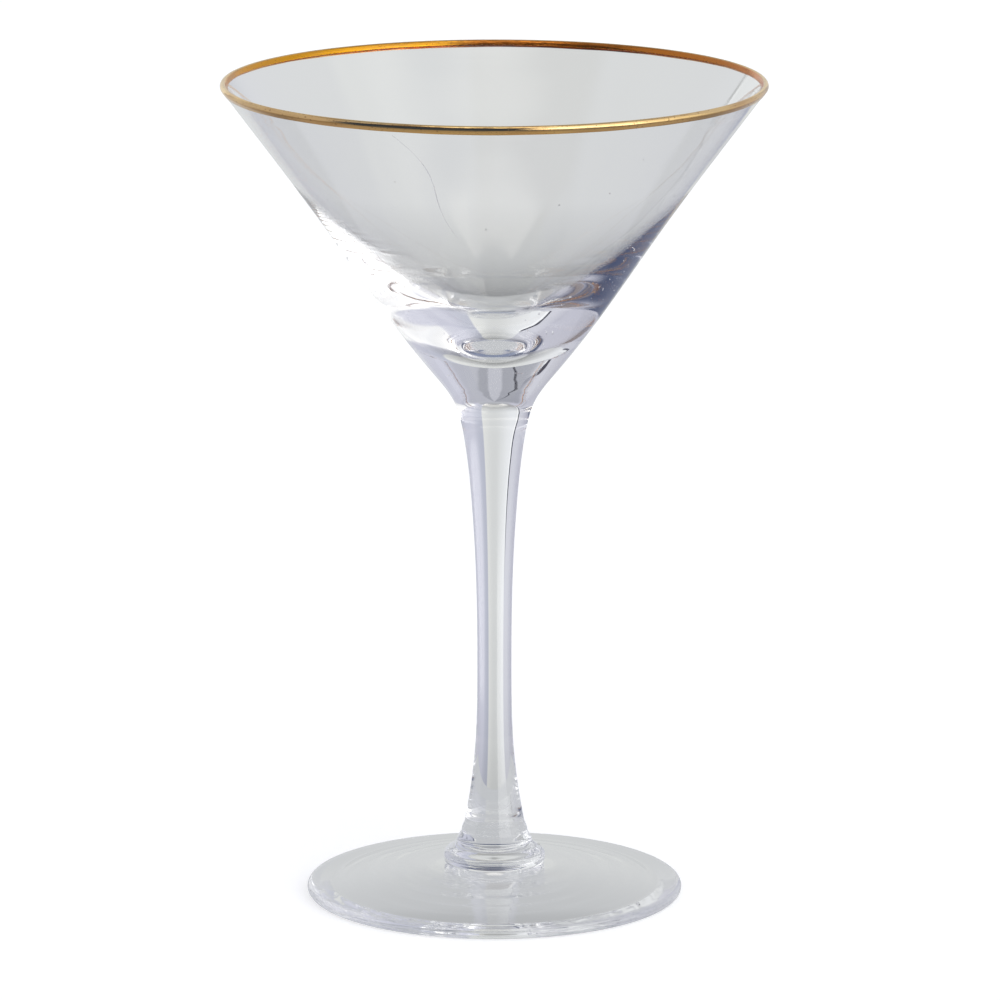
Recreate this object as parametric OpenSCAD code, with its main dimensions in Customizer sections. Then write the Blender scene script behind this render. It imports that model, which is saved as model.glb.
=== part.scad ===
// Martini glass: a cone bowl on a thick solid base, fused to a drawn waisted stem,
// a stepped collar and a shallow cone foot, with a fired-on gold band round the lip.
// Every piece is turned about Z. The foot stands on z = 0.

/* [Overall] */
// Height from the table to the top of the gilded lip
height = 183; // [175:0.1:190]
// Diameter over the gilded lip
rim_d = 120; // [115:0.1:124]
// Diameter of the foot
foot_d = 83.6; // [76:0.1:90]

/* [Bowl] */
// Thickness of the wall at the lip
lip_t = 1.2; // [1:0.05:1.6]
// Angle of the wall from vertical at the lip
lip_angle = 36.5; // [36:0.1:37]
// Height of the fused joint between bowl and stem
joint_z = 110.5; // [109:0.1:112]
// Radius of the fused joint between bowl and stem
joint_r = 8.4; // [8:0.1:8.8]
// Height of the lowest point inside the bowl
floor_z = 124.9; // [124.6:0.1:125.4]
// Radius at the edge of the rounded bottom inside the bowl
well_r = 12.5; // [12.3:0.1:12.8]
// Rise of that rounded bottom from its middle to its edge
well_rise = 4.3; // [4.1:0.1:4.5]

/* [Stem] */
// Radius of the stem at its waist
waist_r = 3.8; // [3.5:0.05:4.2]
// Height of the waist
waist_z = 54; // [50:1:58]
// Height of the fused joint between stem and collar
collar_z = 16; // [15.5:0.1:16.5]
// Radius of the fused joint between stem and collar
collar_r = 6.7; // [6.5:0.1:7]

/* [Foot] */
// Height of the seat on the foot that carries the collar
seat_z = 7.1; // [6.9:0.1:7.3]
// Radius of that seat
seat_r = 11.2; // [11:0.1:11.4]
// Radius of the collar's widest ring
ring_r = 11.3; // [11.2:0.1:11.5]
// Thickness of the rounded edge of the foot
edge_t = 2.6; // [2.2:0.1:3]
// Inner radius of the flat ring that the foot rests on
rest_r1 = 36; // [35:0.5:37]
// Outer radius of the flat ring that the foot rests on
rest_r2 = 39; // [38.5:0.1:39.5]
// Rise of the hollow under the middle of the foot
hollow_h = 4.6; // [4:0.1:4.8]

/* [Gold band] */
// Thickness of the gold layer
gold_t = 0.12; // [0.1:0.01:0.2]
// Width of the band down the outside of the wall
gold_out = 1.15; // [0.8:0.05:3]
// Width of the band down the inside of the wall
gold_in = 1; // [0.8:0.05:3]

/* [Hidden] */
$fn = 128;
glass_tint = [0.85, 0.88, 0.90, 0.45];
gold_tint = [0.78, 0.60, 0.36];

// The lip is a full round about this point; up_wall runs up the wall and out_wall out of it
lip_c = [rim_d / 2 - lip_t / 2 - gold_t, height - lip_t / 2 - gold_t];
up_wall = [sin(lip_angle), cos(lip_angle)];
out_wall = [cos(lip_angle), -sin(lip_angle)];
// Length of the straight stretch of wall below the lip
lip_land = 4;

// A smooth curve through knots of [z, r, slope dr/dz], as points of [r, z]
function ease(p, q, t) =
    let (h = q[0] - p[0], t2 = t * t, t3 = t2 * t)
    [(2 * t3 - 3 * t2 + 1) * p[1] + (t3 - 2 * t2 + t) * h * p[2]
        + (3 * t2 - 2 * t3) * q[1] + (t3 - t2) * h * q[2],
     p[0] + h * t];
function through(knots, steps) =
    [for (k = [0 : len(knots) - 2]) for (i = [(k == 0 ? 0 : 1) : steps])
        ease(knots[k], knots[k + 1], i / steps)];
// An arc of radius r about c, from angle a to angle b, as points of [r, z]
function arc(c, r, a, b, steps) =
    [for (i = [0 : steps]) let (g = a + (b - a) * i / steps) [c[0] + r * cos(g), c[1] + r * sin(g)]];

// A point beside the lip: side is +1 outside or -1 inside, down is how far below the lip's centre
function beside_lip(side, down, off) = lip_c + out_wall * side * off - up_wall * down;

// Outside of the bowl from the stem joint to the straight stretch under the lip
outer_top = beside_lip(1, lip_land, lip_t / 2);
outer_wall = through([
    [joint_z, joint_r, 0.36],
    [joint_z + 8.5, 14.25, 0.83],
    [joint_z + 39.5, 36.45, 0.69],
    [outer_top[1], outer_top[0], tan(lip_angle)]
], 12);

// Inside of the bowl: a rounded bottom, then a wall that thins steadily up to the lip
well_power = 1.7;
well_z = floor_z + well_rise;
well_floor = [for (i = [16 : -1 : 0]) let (t = i / 16)
    [well_r * t, floor_z + well_rise * pow(t, well_power)]];
inner_top = beside_lip(-1, lip_land, lip_t / 2);
inner_wall = through([
    [well_z, well_r, well_r / (well_power * well_rise)],
    [well_z + 2, well_r + 3.2, 1.42],
    [well_z + 4.4, well_r + 6.4, 1.22],
    [well_z + 7.3, well_r + 9.7, 1.07],
    [well_z + 11.8, well_r + 14.3, 0.98],
    [well_z + 22.8, well_r + 24, 0.8],
    [well_z + 30.8, well_r + 30.1, 0.74],
    [inner_top[1], inner_top[0], tan(lip_angle)]
], 6);

// Side of the stem from the collar to the bowl joint
stem_side = through([
    [collar_z, collar_r, -0.2],
    [32, 4.4, -0.085],
    [waist_z, waist_r, 0],
    [84, 4.68, 0.068],
    [100, 6.19, 0.14],
    [joint_z, joint_r, 0.36]
], 8);

// Side of the collar from its seat to the stem: a wide round ring, then two soft beads
step_z = [11.7, 13.9];
step_r = [8.4, 7.35];
collar_ring = through([
    [seat_z, seat_r, 0.2],
    [seat_z + 1, ring_r, 0.1],
    [seat_z + 1.9, ring_r - 0.1, -0.4],
    [seat_z + 3, ring_r - 1, -1.6],
    [step_z[0], step_r[0], -0.8]
], 5);
collar_beads = concat(
    through([[step_z[0], step_r[0], 0], [step_z[1], step_r[1], -0.6]], 5),
    through([[step_z[1], step_r[1], 0], [collar_z, collar_r, -0.5]], 5)
);

// Upper face of the foot, from the seat out to the rounded edge: mostly cone, and a little dished
cone_share = 0.85;
function foot_top(r) =
    let (edge_r = foot_d / 2 - edge_t / 2, t = (edge_r - r) / (edge_r - seat_r))
    edge_t + (seat_z - edge_t) * (cone_share * t + (1 - cone_share) * t * t);
// Hollow under the foot, a shallow cone with a softened tip
hollow_power = 1.2;
function foot_hollow(r) = hollow_h * (1 - pow(r / rest_r1, hollow_power));

module turned(points) {
    rotate_extrude()
        polygon(points);
}

module bowl() {
    color(glass_tint)
        turned(concat(
            [[0, joint_z]],
            outer_wall,
            arc(lip_c, lip_t / 2, -lip_angle, 180 - lip_angle, 12),
            [for (i = [len(inner_wall) - 1 : -1 : 1]) inner_wall[i]],
            well_floor
        ));
}

module gold_rim() {
    lip_r = lip_t / 2;
    skin_r = lip_r + gold_t;
    color(gold_tint)
        turned(concat(
            [beside_lip(1, gold_out, lip_r)],
            [beside_lip(1, gold_out - gold_t, skin_r)],
            arc(lip_c, skin_r, -lip_angle, 180 - lip_angle, 12),
            [beside_lip(-1, gold_in - gold_t, skin_r)],
            [beside_lip(-1, gold_in, lip_r)],
            arc(lip_c, lip_r, 180 - lip_angle, -lip_angle, 12)
        ));
}

module stem() {
    color(glass_tint)
        turned(concat([[0, collar_z]], stem_side, [[0, joint_z]]));
}

module foot_collar() {
    color(glass_tint)
        turned(concat([[0, seat_z]], collar_ring, collar_beads, [[0, collar_z]]));
}

module foot() {
    edge_c = [foot_d / 2 - edge_t / 2, edge_t / 2];
    color(glass_tint)
        turned(concat(
            [[0, seat_z]],
            [for (i = [0 : 16]) let (r = seat_r + (edge_c[0] - seat_r) * i / 16) [r, foot_top(r)]],
            arc(edge_c, edge_t / 2, 75, -75, 8),
            [[rest_r2, 0]],
            [for (i = [16 : -1 : 0]) let (r = rest_r1 * i / 16) [r, foot_hollow(r)]]
        ));
}

bowl();
gold_rim();
stem();
foot_collar();
foot();
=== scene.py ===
import math

import bmesh
import bpy
import numpy as np
from mathutils import Matrix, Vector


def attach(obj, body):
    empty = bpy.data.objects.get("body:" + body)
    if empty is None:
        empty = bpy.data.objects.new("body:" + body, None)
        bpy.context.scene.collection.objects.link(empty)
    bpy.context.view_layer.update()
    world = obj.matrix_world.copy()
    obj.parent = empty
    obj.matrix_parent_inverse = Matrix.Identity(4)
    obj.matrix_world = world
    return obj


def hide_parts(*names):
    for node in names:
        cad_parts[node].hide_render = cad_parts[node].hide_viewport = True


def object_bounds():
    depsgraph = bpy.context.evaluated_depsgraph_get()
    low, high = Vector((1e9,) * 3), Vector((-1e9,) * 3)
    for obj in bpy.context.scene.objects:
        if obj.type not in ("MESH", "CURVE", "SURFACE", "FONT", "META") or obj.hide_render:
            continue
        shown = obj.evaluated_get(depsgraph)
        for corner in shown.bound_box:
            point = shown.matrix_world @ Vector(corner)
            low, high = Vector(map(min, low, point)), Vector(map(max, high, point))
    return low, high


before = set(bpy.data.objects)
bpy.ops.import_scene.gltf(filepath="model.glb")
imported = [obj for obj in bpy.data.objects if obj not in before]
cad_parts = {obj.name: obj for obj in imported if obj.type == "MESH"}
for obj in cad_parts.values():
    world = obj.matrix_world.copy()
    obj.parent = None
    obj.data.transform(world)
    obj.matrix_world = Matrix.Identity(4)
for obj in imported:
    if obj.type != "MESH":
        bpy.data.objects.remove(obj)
cad_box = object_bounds()

MM = 0.001
DEG = math.pi / 180
SEGMENTS = 288             # faces round every turned piece
OUTLINE_STEP = 0.5 * MM    # spacing of the rings along an outline
CORNER = math.radians(22)  # an outline that turns more than this has a real edge there
FLAT = 1e-7                # a point nearer than this to its neighbours' line shapes nothing
BOUNCES = 160              # light needs this many to get through all the glass


# ---------------------------------------------------------------- outlines from the CAD frame

def seam_outline(node):
    """A turned node's outline as ordered (r, z) points, read along its mesh's seam at y = 0."""
    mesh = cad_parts[node].data
    co = np.array([v.co for v in mesh.vertices])
    on_seam = (np.abs(co[:, 1]) < FLAT) & (co[:, 0] > -FLAT)
    key = {i: (round(co[i, 0], 8), round(co[i, 2], 8)) for i in np.flatnonzero(on_seam)}
    links = {}
    for a, b in mesh.edge_keys:
        if a in key and b in key and key[a] != key[b]:
            links.setdefault(key[a], set()).add(key[b])
            links.setdefault(key[b], set()).add(key[a])
    ends = [p for p, near_painted_shade in links.items() if len(near_painted_shade) == 1]
    path = [min(ends or links)]
    while True:
        onward = [p for p in links[path[-1]] if p not in path]
        if not onward:
            break
        path.append(min(onward, key=lambda p: math.dist(p, path[-1])))
    return np.array(path)


def without_flat_points(path):
    """The outline without the points that lie on a straight line between their neighbours."""
    kept = [path[0]]
    for here, after in zip(path[1:-1], path[2:]):
        along = after - kept[-1]
        off = here - kept[-1]
        if abs(along[0] * off[1] - along[1] * off[0]) / np.linalg.norm(along) > FLAT:
            kept.append(here)
    return np.array(kept + [path[-1]])


def smoothed(path, step):
    """The outline as a smooth curve through its points, kept sharp at its corners.
    Returns the new points and a list of the indices that are corners."""
    legs = np.diff(path, axis=0)
    lengths = np.linalg.norm(legs, axis=1)
    way = legs / lengths[:, None]
    points, corners = [path[0]], []
    for i in range(len(legs)):
        ends = []
        for j, other in ((i, i - 1), (i + 1, i + 1)):
            if 0 <= other < len(legs) and way[i] @ way[other] > math.cos(CORNER):
                long_leg = lengths[i] > 3 * lengths[other]
                share = 0.0 if long_leg else lengths[i] / (lengths[i] + lengths[other])
                ends.append(way[i] * (1 - share) + way[other] * share)
            else:
                ends.append(way[i])
        count = max(1, round(lengths[i] / step))
        t = (np.arange(count) + 1)[:, None] / count
        curve = ((2 * t**3 - 3 * t**2 + 1) * path[i] + (3 * t**2 - 2 * t**3) * path[i + 1]
                 + (t**3 - 2 * t**2 + t) * ends[0] * lengths[i]
                 + (t**3 - t**2) * ends[1] * lengths[i])
        points.extend(curve)
        if i + 1 < len(legs) and way[i] @ way[i + 1] < math.cos(CORNER):
            corners.append(len(points) - 1)
    low, high = path.min(axis=0), path.max(axis=0)
    return np.clip(np.array(points), low, high), corners


def outline_of(node, step=OUTLINE_STEP):
    return smoothed(without_flat_points(seam_outline(node)), step)


# ---------------------------------------------------------------- turned meshes

def turned(name, rings, sharp=(), fused=(), closed=False, shape=None):
    """A closed piece turned about Z from rings of (r, z). A ring at r = 0 is one point.
    sharp lists the rings that are real edges. fused lists the strips between rings that lie in a
    fused joint, which get material slot 1. shape(angle, r, z, ring) may return a changed (r, z)."""
    angles = np.arange(SEGMENTS) * 2 * math.pi / SEGMENTS
    verts, first = [], []
    for k, (r, z) in enumerate(rings):
        first.append(len(verts))
        if r < FLAT:
            verts.append((0.0, 0.0, z))
            continue
        rr, zz = (r, z) if shape is None else shape(angles, r, z, k)
        rr, zz = np.broadcast_to(rr, SEGMENTS), np.broadcast_to(zz, SEGMENTS)
        verts.extend(zip(rr * np.cos(angles), rr * np.sin(angles), zz))
    faces, slots, sharp_pairs = [], [], set()
    count = len(rings)
    for k in range(count if closed else count - 1):
        a, b = k, (k + 1) % count
        for i in range(SEGMENTS):
            j = (i + 1) % SEGMENTS
            if rings[a][0] < FLAT:
                faces.append((first[a], first[b] + i, first[b] + j))
            elif rings[b][0] < FLAT:
                faces.append((first[a] + i, first[b], first[a] + j))
            else:
                faces.append((first[a] + i, first[b] + i, first[b] + j, first[a] + j))
            slots.append(1 if k in fused else 0)
    for k in sharp:
        for i in range(SEGMENTS):
            sharp_pairs.add(tuple(sorted((first[k] + i, first[k] + (i + 1) % SEGMENTS))))
    mesh = bpy.data.meshes.new(name)
    mesh.from_pydata(verts, [], faces)
    mesh.polygons.foreach_set("material_index", slots)
    edge_sharp = mesh.attributes.new("sharp_edge", "BOOLEAN", "EDGE")
    edge_sharp.data.foreach_set("value", [tuple(sorted(e)) in sharp_pairs for e in mesh.edge_keys])
    mesh.update()
    bm = bmesh.new()
    bm.from_mesh(mesh)
    bmesh.ops.recalc_face_normals(bm, faces=bm.faces)
    bm.to_mesh(mesh)
    bm.free()
    mesh.polygons.foreach_set("use_smooth", [True] * len(mesh.polygons))
    piece = bpy.data.objects.new(name, mesh)
    bpy.context.scene.collection.objects.link(piece)
    return piece


def with_caps(outline, corners, low_cap, high_cap):
    """Closes an open outline to the axis with a flat cap at its lower or upper end, which is where
    the piece is fused to its neighbour. Returns rings, sharp rings and the capped strips."""
    rings, sharp, fused = list(map(tuple, outline)), list(corners), []
    if rings[0][1] > rings[-1][1]:
        rings = rings[::-1]
        sharp = [len(rings) - 1 - k for k in sharp]
    if low_cap:
        rings.insert(0, (0.0, rings[0][1]))
        sharp = [1] + [k + 1 for k in sharp]
        fused.append(0)
    if high_cap:
        sharp.append(len(rings) - 1)
        fused.append(len(rings) - 1)
        rings.append((0.0, rings[-1][1]))
    return rings, sharp, fused


# ---------------------------------------------------------------- node helpers

def node_tree(material):
    material.use_nodes = True
    material.node_tree.nodes.clear()
    return material.node_tree


def add(tree, kind, **inputs):
    """A node with its inputs set by name: a number or colour is a value, a socket is a link."""
    node = tree.nodes.new(kind)
    for name, value in inputs.items():
        socket = node.inputs[int(name[1:])] if name[0] == "_" else node.inputs[name.replace("_", " ")]
        if isinstance(value, bpy.types.NodeSocket):
            tree.links.new(value, socket)
        else:
            socket.default_value = value
    return node


def maths(tree, operation, a, b=0.0, c=0.0):
    node = tree.nodes.new("ShaderNodeMath")
    node.operation = operation
    for socket, value in zip(node.inputs, (a, b, c)):
        if isinstance(value, bpy.types.NodeSocket):
            tree.links.new(value, socket)
        else:
            socket.default_value = value
    return node.outputs[0]


def step_up(tree, value, at, soft):
    """0 below at, 1 above it, with a smooth change over 2 * soft."""
    node = add(tree, "ShaderNodeMapRange", Value=value, From_Min=at - soft, From_Max=at + soft)
    node.interpolation_type = "SMOOTHSTEP"
    return node.outputs["Result"]


def between(tree, value, low, high, soft):
    """1 where value is from low to high, and 0 outside."""
    return maths(tree, "SUBTRACT", step_up(tree, value, low, soft), step_up(tree, value, high, soft))


def blended(tree, share, a, b):
    """Colour a where share is 0, b where it is 1."""
    node = tree.nodes.new("ShaderNodeMix")
    node.data_type = "RGBA"
    for socket, value in ((node.inputs[0], share), (node.inputs[6], a), (node.inputs[7], b)):
        if isinstance(value, bpy.types.NodeSocket):
            tree.links.new(value, socket)
        else:
            socket.default_value = value
    return node.outputs[2]


# ---------------------------------------------------------------- materials

def glass_material():
    """Clear soda-lime glass. Its skin has the slight waviness of blown glass."""
    material = bpy.data.materials.new("clear_glass")
    tree = node_tree(material)
    where = tree.nodes.new("ShaderNodeTexCoord").outputs["Object"]
    waves = add(tree, "ShaderNodeTexNoise", Vector=where, Scale=90.0, Detail=2.0, Distortion=0.6)
    skin = add(tree, "ShaderNodeBump", Strength=0.25, Distance=0.02 * MM, Height=waves.outputs[0])
    glass = add(tree, "ShaderNodeBsdfPrincipled", Base_Color=(1, 1, 1, 1), Roughness=0.0,
                IOR=1.51, Transmission_Weight=1.0, Normal=skin.outputs[0])
    out = tree.nodes.new("ShaderNodeOutputMaterial")
    tree.links.new(glass.outputs[0], out.inputs["Surface"])
    return material


def fused_material():
    """The faces inside a fused joint: the glass is one body there, so they don't show."""
    material = bpy.data.materials.new("fused_joint")
    tree = node_tree(material)
    clear = add(tree, "ShaderNodeBsdfPrincipled", Base_Color=(1, 1, 1, 1), Alpha=0.0)
    out = tree.nodes.new("ShaderNodeOutputMaterial")
    tree.links.new(clear.outputs[0], out.inputs["Surface"])
    return material


def gold_material(up, mouth, out):
    """Fired-on gold, brushed on round the lip: paler outside, redder inside, thin and burnt at its
    edges, with faint brush lines. The inside is yellow on the -X side and a redder painted reflection
    on the +X side, and the crest is a pale painted highlight. Those two are no pigment of a real band:
    they stand in for what it reflects when seen from the front. up runs up the wall and out points
    out of it, in (r, z); mouth is where the round of the lip starts."""
    # The pale crest tone is a painted highlight, not pigment.
    outside, crest_painted_highlight = (0.79, 0.48, 0.16, 1), (0.90, 0.64, 0.29, 1)
    # The redder of these two inner tones is a painted reflection, not pigment.
    yellow, painted_reflection_copper = (0.86, 0.40, 0.02, 1), (0.62, 0.21, 0.03, 1)
    patchy, brushed, burnt = (0.62, 0.30, 0.09, 1), (0.45, 0.22, 0.08, 1), (0.16, 0.07, 0.03, 1)
    painted_reflection_from, band_end = -8 * MM, 1.40
    material = bpy.data.materials.new("fired_gold")
    tree = node_tree(material)
    where = tree.nodes.new("ShaderNodeTexCoord").outputs["Object"]
    x, y, z = add(tree, "ShaderNodeSeparateXYZ", Vector=where).outputs
    r = maths(tree, "SQRT", maths(tree, "MULTIPLY_ADD", x, x, maths(tree, "MULTIPLY", y, y)))
    turn = maths(tree, "ARCTAN2", x, y)

    def along(axis):
        """How far a point of the band is from mouth along an axis in (r, z), in millimetres."""
        run = maths(tree, "MULTIPLY_ADD", r, axis[0] / MM, maths(tree, "MULTIPLY", z, axis[1] / MM))
        return maths(tree, "SUBTRACT", run, float(mouth @ axis) / MM)

    down = maths(tree, "MULTIPLY", along(up), -1.0)
    around = add(tree, "ShaderNodeCombineXYZ", X=maths(tree, "SINE", turn),
                 Y=maths(tree, "COSINE", turn))
    patches = add(tree, "ShaderNodeTexNoise", Vector=around.outputs[0], Scale=4.0, Detail=3.0)
    line_at = add(tree, "ShaderNodeCombineXYZ", X=maths(tree, "MULTIPLY", down, 5.0),
                  Y=maths(tree, "MULTIPLY", maths(tree, "SINE", turn), 7.0),
                  Z=maths(tree, "MULTIPLY", maths(tree, "COSINE", turn), 7.0))
    lines = add(tree, "ShaderNodeTexNoise", Vector=line_at.outputs[0], Scale=1.0, Detail=4.0)
    pits = add(tree, "ShaderNodeTexNoise", Vector=where, Scale=2600.0, Detail=1.0)

    inside = maths(tree, "SUBTRACT", 1.0, step_up(tree, along(out), -0.35, 0.3))
    # The +X half of the inside gets the redder tone, a painted reflection.
    inner = blended(tree, step_up(tree, x, painted_reflection_from, 5 * MM), yellow, painted_reflection_copper)
    colour = blended(tree, inside, outside, inner)
    # The crest of the lip gets the pale tone, a painted highlight.
    below_painted_highlight = step_up(tree, down, -0.3, 0.15)
    colour = blended(tree, below_painted_highlight, crest_painted_highlight, colour)
    colour = blended(tree, maths(tree, "MULTIPLY", step_up(tree, patches.outputs[0], 0.55, 0.12), 0.3),
                     colour, patchy)
    colour = blended(tree, maths(tree, "MULTIPLY", step_up(tree, lines.outputs[0], 0.56, 0.07), 0.25),
                     colour, brushed)
    edge = step_up(tree, maths(tree, "MULTIPLY_ADD", patches.outputs[0], 0.25, down), band_end, 0.09)
    worn = maths(tree, "MAXIMUM", maths(tree, "MULTIPLY", edge, 0.75),
                 maths(tree, "MULTIPLY", step_up(tree, pits.outputs[0], 0.70, 0.02), 0.8))
    colour = blended(tree, worn, colour, burnt)
    rough = maths(tree, "MULTIPLY_ADD", lines.outputs[0], 0.12, 0.04)
    rough = maths(tree, "MULTIPLY_ADD", worn, 0.18, rough)
    low = maths(tree, "MAXIMUM", down, 0.0)
    height = maths(tree, "MULTIPLY_ADD", lines.outputs[0], 0.06,
                   maths(tree, "MULTIPLY", maths(tree, "MULTIPLY", low, low), -0.11))
    skin = add(tree, "ShaderNodeBump", Strength=1.0, Distance=MM, Height=height)
    gold = add(tree, "ShaderNodeBsdfPrincipled", Base_Color=colour, Metallic=1.0, Roughness=rough,
               Normal=skin.outputs[0])
    result = tree.nodes.new("ShaderNodeOutputMaterial")
    tree.links.new(gold.outputs[0], result.inputs["Surface"])
    return material


clear_glass, fused_joint = glass_material(), fused_material()


def finish_piece(piece, node, materials):
    for material in materials:
        piece.data.materials.append(material)
    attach(piece, "root")
    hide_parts(node)
    return piece


# ---------------------------------------------------------------- flaws of blown glass

def swell(angle, z, cycles, drift):
    """A wave round the glass that winds as it climbs."""
    return np.sin(cycles * angle + drift * z / MM)


def bowl_waves(lip_ring):
    """Slight unevenness of the bowl's inner face, which was blown against air. The rings of the lip
    and the band stay round."""
    depth, still_rings, still_r, full_r = 0.02 * MM, 12, 1 * MM, 20 * MM

    def shape(angle, r, z, ring):
        if ring <= lip_ring + still_rings or r < still_r:
            return r, z
        wave = (0.5 * swell(angle, z, 3, 0.05) + 0.3 * swell(angle + 1, z, 7, -0.11)
                + 0.2 * swell(angle, z, 17, 0.2))
        return r + depth * wave * min(1.0, r / full_r), z
    return shape


def foot_waves(edge_ring, rings):
    """Rings and swirls left in the upper face of the foot by the spinning of it."""
    depth, rim, seat = 0.022 * MM, rings[edge_ring][0] - 1.5 * MM, rings[-2][0] + 1 * MM

    def shape(angle, r, z, ring):
        if ring <= edge_ring or not seat < r < rim:
            return r, z
        t = (r - seat) / (rim - seat)
        swirl = (np.sin(r / MM * 1.25 + angle) + 0.6 * np.sin(r / MM * 0.7 - 2 * angle + 1)
                 + 0.25 * np.sin(r / MM * 2.9 + 3 * angle))
        return r, z + depth * swirl * math.sin(math.pi * t)
    return shape


def wall_middle(outline, z):
    """Radius of the middle of the bowl's wall at a height, and half the wall's thickness there."""
    lip = int(np.argmax(outline[:, 1]))
    outer, inner = outline[:lip + 1], outline[lip:][::-1]
    r_out = np.interp(z, outer[:, 1], outer[:, 0])
    r_in = np.interp(z, inner[:, 1], inner[:, 0])
    return (r_out + r_in) / 2, (r_out - r_in) / 2


def add_seeds(bm, outline, count=26):
    """Tiny bubbles caught in the wall, as voids whose faces look into the bubble."""
    chance = np.random.default_rng(11)
    low, high, smallest, largest = 0.128, 0.176, 0.1, 0.26
    for _ in range(count):
        z = low + (high - low) * chance.random() ** 1.5
        r, room = wall_middle(outline, z)
        turn = chance.uniform(-math.pi, math.pi)
        size = min(chance.uniform(smallest, largest) * MM, room * 0.35)
        at = Matrix.Translation((r * math.sin(turn), -r * math.cos(turn), z))
        at = at @ Matrix.Rotation(turn, 4, "Z") @ Matrix.Diagonal((1.0, 0.8, 1.3, 1.0))
        made = bmesh.ops.create_icosphere(bm, subdivisions=2, radius=size, matrix=at)
        faces = {f for v in made["verts"] for f in v.link_faces}
        bmesh.ops.reverse_faces(bm, faces=list(faces))
        for f in faces:
            f.smooth = True


def add_thread(bm, outline):
    """A hair-fine drawn bubble that wanders down the front of the wall from near the lip."""
    sides, steps, top, drop, half = 8, 40, 0.181, 0.026, 0.07 * MM
    start, sweep, wander = -22.5, 13, 2.2
    rows = []
    for i in range(1, steps):
        t = i / steps
        z = top - drop * t
        turn = math.radians(start + sweep * t + wander * math.sin(5.5 * t))
        r, _ = wall_middle(outline, z)
        thin = half * math.sin(math.pi * t) ** 0.4 * (1 + 0.35 * math.sin(23 * t))
        row = []
        for a in np.arange(sides) * 2 * math.pi / sides:
            at_r = r + thin * math.cos(a)
            at_turn = turn + thin * math.sin(a) / r
            row.append(bm.verts.new((at_r * math.sin(at_turn), -at_r * math.cos(at_turn), z)))
        rows.append(row)
    faces = [bm.faces.new(rows[0]), bm.faces.new(rows[-1][::-1])]
    for a, b in zip(rows, rows[1:]):
        for i in range(sides):
            j = (i + 1) % sides
            faces.append(bm.faces.new((a[i], b[i], b[j], a[j])))
    for f in faces:
        f.smooth = True


# ---------------------------------------------------------------- the pieces

def glass_piece(node, low_cap, high_cap, waves=None):
    rings, sharp, fused = with_caps(*outline_of(node), low_cap, high_cap)
    piece = turned("glass_" + node, rings, sharp, fused, shape=waves and waves(rings))
    return finish_piece(piece, node, (clear_glass, fused_joint))


def bowl():
    """The bowl, with its seeds and its thread as voids inside the wall."""
    outline, corners = outline_of("bowl")
    if outline[0][1] > outline[-1][1]:
        outline, corners = outline[::-1], [len(outline) - 1 - k for k in corners]
    rings = [(0.0, outline[0][1])] + list(map(tuple, outline))
    piece = turned("glass_bowl", rings, [1] + [k + 1 for k in corners], fused=[0],
                   shape=bowl_waves(int(np.argmax(outline[:, 1])) + 1))
    bm = bmesh.new()
    bm.from_mesh(piece.data)
    add_seeds(bm, outline)
    add_thread(bm, outline)
    bm.to_mesh(piece.data)
    bm.free()
    return finish_piece(piece, "bowl", (clear_glass, fused_joint))


def gold_rim():
    """The gold band. Its inner skin is sunk into the glass by sink, so that the two surfaces don't
    lie in each other, and its lower edges waver as those of a brushed band do."""
    sink, on_glass, step, lift_by = 0.012 * MM, 0.03 * MM, 0.1 * MM, 0.04 * MM
    path = seam_outline("gold_rim")
    legs = np.diff(path, axis=0)
    lengths = np.linalg.norm(legs, axis=1)
    on_wall = np.argsort(lengths)[-2:]      # the straight runs that lie on the wall's two faces
    tops = [max(path[i], path[i + 1], key=lambda p: p[1]) for i in on_wall]
    mouth, half_wall = (tops[0] + tops[1]) / 2, math.dist(*tops) / 2
    up = legs[on_wall[0]] / lengths[on_wall[0]] * np.sign(legs[on_wall[0]][1])
    out = np.array([up[1], -up[0]])
    outline, corners = smoothed(np.vstack([path, path[:1]]), step)
    outline = outline[:-1]
    off = outline - mouth
    down = np.maximum(-off @ up, 0.0)
    off = off + down[:, None] * up
    reach = np.linalg.norm(off, axis=1)
    sunk = reach < half_wall + on_glass
    outline[sunk] -= (off / reach[:, None])[sunk] * sink
    band = down.max()

    def waver(angle, r, z, ring):
        wave = swell(angle, 0, 5, 0) + 0.7 * swell(angle + 2, 0, 13, 0) + 0.5 * swell(angle, 0, 29, 0)
        lift = lift_by * (wave + 2.2) * min(1.0, down[ring] / band) ** 3
        return r + up[0] * lift, z + up[1] * lift
    piece = turned("gold_band", list(map(tuple, outline)), corners, closed=True, shape=waver)
    return finish_piece(piece, "gold_rim", (gold_material(up, mouth, out),))


bowl()
glass_piece("stem", True, True)
glass_piece("foot_collar", True, True)
glass_piece("foot", False, True,
            waves=lambda rings: foot_waves(int(np.argmax([r for r, _ in rings])), rings))
gold_rim()


# ---------------------------------------------------------------- studio

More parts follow.
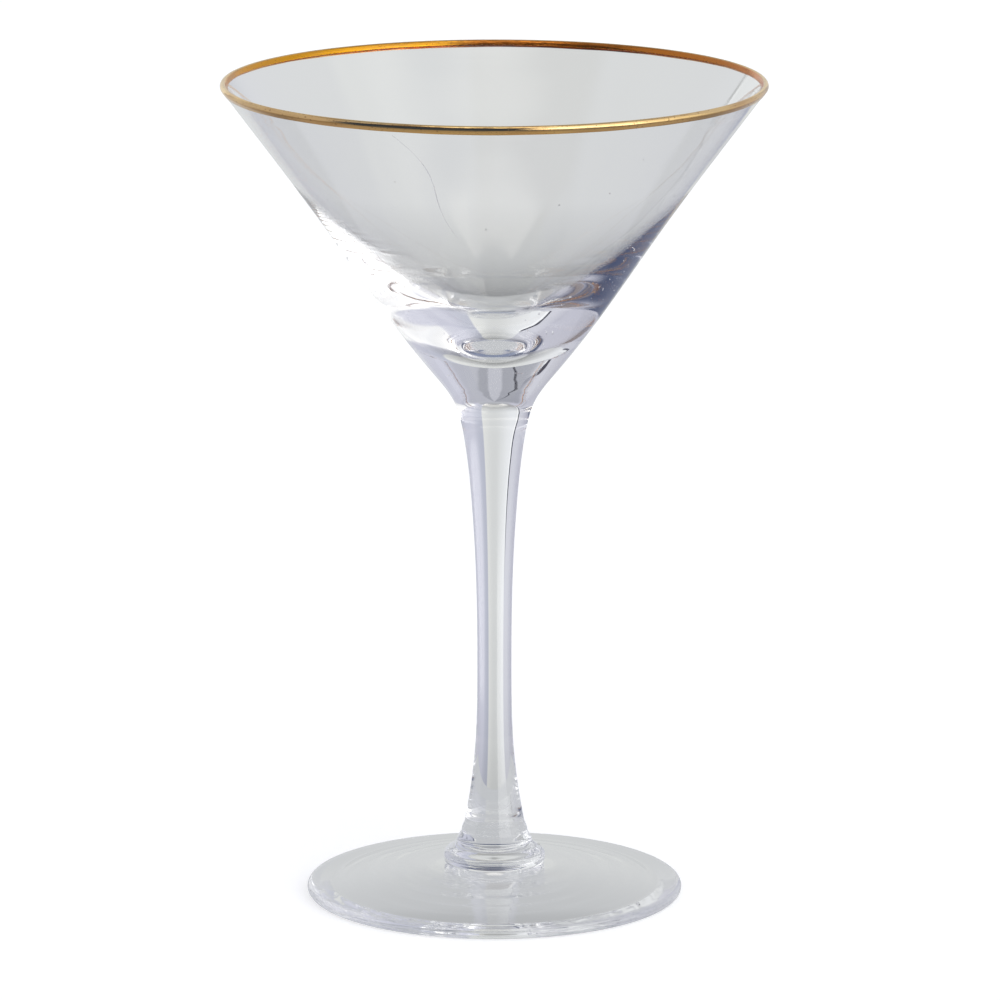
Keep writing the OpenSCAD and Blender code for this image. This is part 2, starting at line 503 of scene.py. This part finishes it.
def studio_world():
    """What the glass refracts and mirrors, by direction alone. Behind the glass stands a pale board,
    brighter at one end, with a dark gap beside it; mauve walls stand at the sides and a softbox at
    the front right, and the room behind the camera is dark but for a lamp overhead. The board is
    shaded low down. Its levels and edges were fitted to one view from the front, so they
    suit other views less well. turn is the angle from +Y toward +X, and rise the angle above level.
    The camera itself sees plain white instead, so the glass stands against a bright ground."""
    world = bpy.data.worlds.new("studio")
    bpy.context.scene.world = world
    tree = node_tree(world)
    way = add(tree, "ShaderNodeSeparateXYZ",
              Vector=tree.nodes.new("ShaderNodeTexCoord").outputs["Generated"])
    turn = maths(tree, "ARCTAN2", way.outputs["X"], way.outputs["Y"])
    rise = maths(tree, "ARCSINE", way.outputs["Z"])
    black, white = (0.0, 0.0, 0.0, 1), (1, 1, 1, 1)

    def past(at, soft):
        return step_up(tree, turn, at * DEG, soft * DEG)

    def band(low, high, soft):
        return between(tree, turn, low * DEG, high * DEG, soft * DEG)

    def above(at, soft):
        return step_up(tree, rise, at * DEG, soft * DEG)

    def both(a, b):
        return maths(tree, "MULTIPLY", a, b)

    def less(share):
        return maths(tree, "SUBTRACT", 1.0, share)

    # The side walls, each in a tone nearer to straight ahead and one farther round
    left_far, left_near = (0.57, 0.575, 0.66, 1), (0.66, 0.67, 0.74, 1)
    right_near, right_far = (0.51, 0.53, 0.62, 1), (0.63, 0.64, 0.74, 1)
    left = blended(tree, past(-45, 10), left_far, left_near)
    right = blended(tree, past(24, 8), right_near, right_far)
    walls = blended(tree, step_up(tree, turn, 0.0, 0.1), left, right)

    # The board behind the glass, whose -X edge leans, with a bright strip and a dark gap along it
    lean_limit, lean_share = 8 * DEG, 0.5
    lean = maths(tree, "MINIMUM", maths(tree, "MAXIMUM", rise, -lean_limit), lean_limit)
    lean = maths(tree, "MULTIPLY_ADD", lean, lean_share, turn)

    def leaning(low, high, soft):
        return between(tree, lean, low * DEG, high * DEG, soft * DEG)

    board_from, board_to, gap_from, edge, strip_to = -60, 14, -28.8, -27, -25
    bright_end, middle, dull_end = (0.86, 0.88, 0.90, 1), (0.695, 0.71, 0.705, 1), (0.80, 0.81, 0.79, 1)
    board = blended(tree, past(-12, 12), bright_end, middle)
    board = blended(tree, past(9, 8), board, dull_end)
    board = blended(tree, both(above(25, 13), 0.45), board, black)
    colour = blended(tree, both(band(board_from, board_to, 0.5), leaning(edge, 60, 0.5)), walls, board)
    low_end = above(-9, 3)
    colour = blended(tree, both(leaning(edge, strip_to, 0.5), low_end), colour, (1.0, 1.02, 1.04, 1))
    colour = blended(tree, both(leaning(gap_from, edge, 0.3), low_end), colour, (0.02, 0.02, 0.04, 1))

    # All of it darkens downward, and is lighter again straight under the glass
    fall = add(tree, "ShaderNodeMapRange", Value=rise, From_Min=-12 * DEG, From_Max=-41 * DEG,
               To_Min=0.0, To_Max=0.58).outputs["Result"]
    fall = blended(tree, above(-43, 1), (0.27, 0.27, 0.27, 1), fall)
    colour = blended(tree, fall, colour, black)

    # The dark room behind the camera, with a blue apron low down
    room_low, room_high = (0.045, 0.065, 0.14, 1), (0.22, 0.18, 0.17, 1)
    front = both(less(band(-110, 163, 6)), above(-32, 8))
    apron = both(less(band(-105, 100, 8)), both(above(-64, 5), less(above(-32, 8))))
    colour = blended(tree, apron, colour, (0.20, 0.24, 0.36, 1))
    colour = blended(tree, front, colour, blended(tree, above(42, 6), room_low, room_high))

    # The softbox, with its bright core
    box_from, box_to, core_from, core_to = 82, 156, 118, 162
    box = both(both(past(box_from, 4), band(-180, box_to, 2)), both(above(-20, 3), less(above(57, 3))))
    core = both(both(band(core_from, core_to, 2), above(-18, 3)), less(above(32, 3)))
    glow = blended(tree, past(98, 12), (0.98, 0.99, 1.0, 1), (1.2, 1.2, 1.2, 1))
    colour = blended(tree, box, colour, glow)
    colour = blended(tree, core, colour, (2.4, 2.4, 2.4, 1))

    # The roof beyond the glass, in three tones with a dark seam, and the lamp over the camera
    ahead = band(-90, 90, 10)
    roof = blended(tree, band(-22, 18, 4), (0.34, 0.35, 0.40, 1), (0.51, 0.52, 0.58, 1))
    roof = blended(tree, band(37, 90, 3), roof, (0.47, 0.48, 0.54, 1))
    roof = blended(tree, band(-43, -41, 0.5), roof, (0.03, 0.03, 0.05, 1))
    colour = blended(tree, both(above(50, 6), ahead), colour, roof)
    colour = blended(tree, both(above(67, 4), less(ahead)), colour, (0.45, 0.46, 0.50, 1))
    lamp = both(less(band(-120, 120, 5)), both(above(64, 3), less(above(77, 2))))
    colour = blended(tree, lamp, colour, (1.9, 1.85, 1.75, 1))

    seen = tree.nodes.new("ShaderNodeLightPath").outputs["Is Camera Ray"]
    colour = blended(tree, seen, colour, white)
    background = add(tree, "ShaderNodeBackground", Color=colour, Strength=1.0)
    out = tree.nodes.new("ShaderNodeOutputWorld")
    tree.links.new(background.outputs[0], out.inputs["Surface"])


def stage_plane(name, half, height, emission, diffuse, near_painted_shade=1.0):
    """A level square card of the studio, with a plain lit surface. Its strip nearer to the camera
    than strip_to glows near times as much as the rest; where that is below 1, the strip is painted
    shade."""
    strip_to, soft = -26 * MM, 6 * MM
    mesh = bpy.data.meshes.new(name)
    mesh.from_pydata([(-half, -half, 0), (half, -half, 0), (half, half, 0), (-half, half, 0)], [],
                     [(0, 1, 2, 3)])
    card = bpy.data.objects.new(name, mesh)
    card.location.z = height
    bpy.context.scene.collection.objects.link(card)
    material = bpy.data.materials.new(name)
    tree = node_tree(material)
    matt = add(tree, "ShaderNodeBsdfDiffuse", Color=diffuse)
    where = add(tree, "ShaderNodeSeparateXYZ",
                Vector=tree.nodes.new("ShaderNodeTexCoord").outputs["Object"])
    # A strip toward the camera glows less: painted shade.
    far = step_up(tree, where.outputs["Y"], strip_to, soft)
    lift = add(tree, "ShaderNodeEmission", Color=emission,
               Strength=maths(tree, "MULTIPLY_ADD", far, 1.0 - near_painted_shade, near_painted_shade))
    both = add(tree, "ShaderNodeAddShader", _0=matt.outputs[0], _1=lift.outputs[0])
    out = tree.nodes.new("ShaderNodeOutputMaterial")
    tree.links.new(both.outputs[0], out.inputs["Surface"])
    mesh.materials.append(material)
    return card


def studio_floor():
    """A wide pale table top that the glass doesn't see, and under the foot a smaller card that only
    the glass sees. The card's front strip is painted shade, where the foot looks darker from the
    camera."""
    table_half, card_half, card_drop = 6.0, 0.055, 0.2 * MM
    top = stage_plane("table_top", table_half, cad_box[0].z, (0.6, 0.6, 0.6, 1), (0.70, 0.71, 0.72, 1))
    top.visible_glossy = top.visible_transmission = False
    # Its front strip glows at 0.84 of the rest: painted shade.
    card = stage_plane("foot_card", card_half, cad_box[0].z - card_drop, (0.55, 0.565, 0.585, 1),
                       (0, 0, 0, 1), near_painted_shade=0.84)
    card.visible_camera = card.visible_shadow = card.visible_diffuse = False


def camera():
    """A long lens a little above the rim, looking slightly down."""
    aside, away, up, down_tilt = 1.25 * MM, 1631.4 * MM, 446.8 * MM, 12.36
    data = bpy.data.cameras.new("camera")
    data.sensor_width = 36
    data.lens = 271.75
    eye = bpy.data.objects.new("camera", data)
    eye.location = (aside, -away, up)
    eye.rotation_euler = ((90 - down_tilt) * DEG, 0, 0)
    data.clip_start, data.clip_end = 0.05, 50
    bpy.context.scene.collection.objects.link(eye)
    bpy.context.scene.camera = eye


studio_world()
studio_floor()
camera()

scene = bpy.context.scene
scene.view_settings.view_transform = "Standard"
scene.cycles.max_bounces = BOUNCES
scene.cycles.transmission_bounces = BOUNCES
scene.cycles.glossy_bounces = BOUNCES
scene.cycles.transparent_max_bounces = BOUNCES
